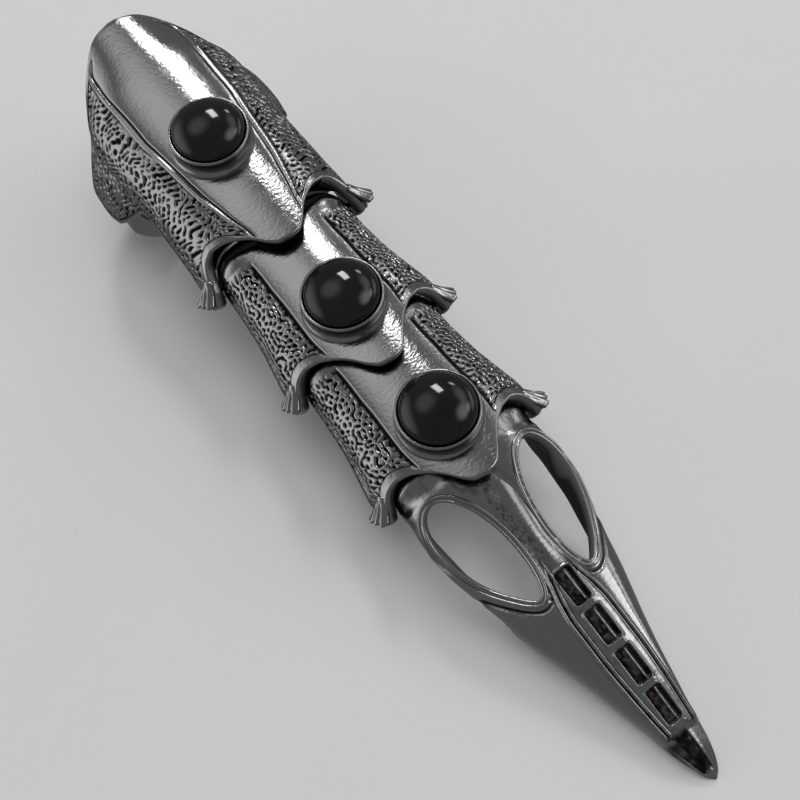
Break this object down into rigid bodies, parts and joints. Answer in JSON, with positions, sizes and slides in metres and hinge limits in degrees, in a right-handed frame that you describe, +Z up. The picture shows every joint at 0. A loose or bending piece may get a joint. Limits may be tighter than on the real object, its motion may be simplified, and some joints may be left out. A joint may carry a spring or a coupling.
{
  "type": "full-finger armor ring",
  "caption": "Hinged full-finger armor ring in dark gunmetal: guards with domed black stones, grained side panels and a beak-shaped claw tip with side windows.",
  "frame": {"origin": "middle of the finger hole, halfway along the band", "axes": "+X along the finger towards the claw, +Y across the finger, +Z up; the chain leans nose-down by about 8 degrees, so the flat of the band and the claw's tip stand on one level surface"},
  "size_m": [0.1075, 0.0262, 0.0261],
  "materials": {
    "gunmetal": "dark polished gunmetal plating, blackened in the grained panels",
    "black_stone": "polished"
  },
  "bodies": {
    "base": {"base_guard": "gunmetal", "base_stone": "black_stone", "first_left_rivet": "gunmetal", "first_right_rivet": "gunmetal"},
    "middle": {"middle_guard": "gunmetal", "middle_stone": "black_stone", "second_left_rivet": "gunmetal", "second_right_rivet": "gunmetal"},
    "end": {"end_guard": "gunmetal", "end_stone": "black_stone", "third_left_rivet": "gunmetal", "third_right_rivet": "gunmetal"},
    "claw": {"claw": "gunmetal"}
  },
  "joints": [
    {"name": "first_hinge", "type": "hinge", "parent": "base", "child": "middle", "pos_m": [0.02323, 0, 0.00214], "axis": [0, 1, 0], "range_deg": [0, 50]},
    {"name": "second_hinge", "type": "hinge", "parent": "middle", "child": "end", "pos_m": [0.03917, 0, -0.00013], "axis": [0, 1, 0], "range_deg": [0, 50]},
    {"name": "third_hinge", "type": "hinge", "parent": "end", "child": "claw", "pos_m": [0.05511, 0, -0.00241], "axis": [0, 1, 0], "range_deg": [0, 50]}
  ]
}
